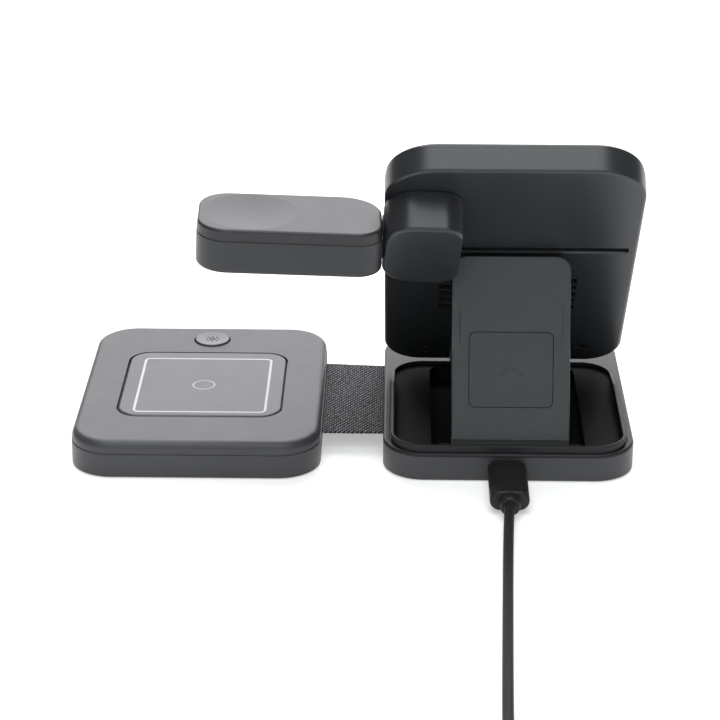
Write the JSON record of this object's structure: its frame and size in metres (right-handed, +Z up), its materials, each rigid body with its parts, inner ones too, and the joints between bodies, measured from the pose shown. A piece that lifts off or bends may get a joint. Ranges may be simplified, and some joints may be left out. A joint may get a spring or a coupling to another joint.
{
  "type": "wireless_charger",
  "caption": "Folding desk charger: a phone plate on a prop, a swivelling watch arm and an earbud pad joined by a woven strap, with its power lead",
  "frame": {"origin": "centre of the base's underside, on the table", "axes": "+Z up, +X towards the right seen from the power inlet's side, +Y away from the inlet"},
  "size_m": [0.172, 0.3003, 0.1044],
  "materials": {
    "shell": "fine satin moulded",
    "plate_shell": "fine satin moulded",
    "strut_shell": "satin moulded",
    "pad_top": "satin moulded",
    "sole": "matte",
    "webbing": "twill weave",
    "steel": "turned",
    "black_steel": "black oxide",
    "board": "solder mask",
    "copper": "enamelled wire",
    "ferrite": "sintered",
    "cable": "matte jacket",
    "overmould": "matte"
  },
  "bodies": {
    "base": {"base_case": "shell", "base_cover": "shell", "base_foot": "sole", "base_board": "board", "usb_socket": "steel", "plate_pin": "steel", "strut_pin_left": "steel", "strut_pin_right": "steel", "strap_clamp_base": "black_steel", "strap": "webbing", "plug_tip": "steel", "plug_body": "overmould", "plug_boot": "overmould", "cord": "cable", "cord_coil": "cable", "cord_tie": "overmould", "cord_tail": "cable", "far_boot": "overmould", "far_plug_body": "overmould", "far_plug_tip": "steel"},
    "plate": {"plate_rear": "plate_shell", "plate_front": "plate_shell", "plate_magnets": "steel", "plate_coil": "copper", "plate_shield": "ferrite", "plate_board": "board", "plate_screw_left": "black_steel", "plate_screw_right": "black_steel"},
    "strut": {"strut": "strut_shell", "strut_panel": "strut_shell"},
    "knuckle": {"knuckle": "shell", "swivel_stud": "steel", "swivel_clip": "steel", "arm_pin": "steel"},
    "arm": {"arm_case": "shell", "arm_cover": "shell", "arm_coil": "copper", "arm_shield": "ferrite", "arm_magnet": "steel"},
    "pad": {"pad_case": "shell", "pad_cover": "pad_top", "pad_plate": "pad_top", "pad_coil": "copper", "pad_shield": "ferrite", "pad_board": "board", "pad_switch": "ferrite", "pad_foot": "sole", "strap_clamp_pad": "black_steel"},
    "button": {"lamp_button": "pad_top"}
  },
  "joints": [
    {"name": "plate_tilt", "type": "hinge", "parent": "base", "child": "plate", "pos_m": [0, 0.02492, 0.01742], "axis": [-1, 0, 0], "range_deg": [0, 39]},
    {"name": "strut_fold", "type": "hinge", "parent": "base", "child": "strut", "pos_m": [0.0003, -0.041, 0.007], "axis": [-1, 0, 0], "range_deg": [0, 69.2]},
    {"name": "arm_swivel", "type": "hinge", "parent": "plate", "child": "knuckle", "pos_m": [-0.0272, -0.03101, 0.07854], "axis": [0, 0.7771, 0.6293], "range_deg": [-3, 12]},
    {"name": "arm_tilt", "type": "hinge", "parent": "knuckle", "child": "arm", "pos_m": [-0.0272, -0.03629, 0.07426], "axis": [0.9986, 0.0329, -0.0407], "range_deg": [-20, 30]},
    {"name": "pad_fold", "type": "hinge", "parent": "base", "child": "pad", "pos_m": [-0.0478, 0, 0.0061], "axis": [0, 1, 0], "range_deg": [0, 35], "deforming": ["strap"]},
    {"name": "lamp_press", "type": "slide", "parent": "pad", "child": "button", "axis": [0, 0, -1], "range_m": [0, 0.0006], "stiffness_N_per_m": 2500}
  ],
  "couplings": [
    {"joint": "strut_fold", "follows": "plate_tilt", "ratio": 1.774}
  ]
}
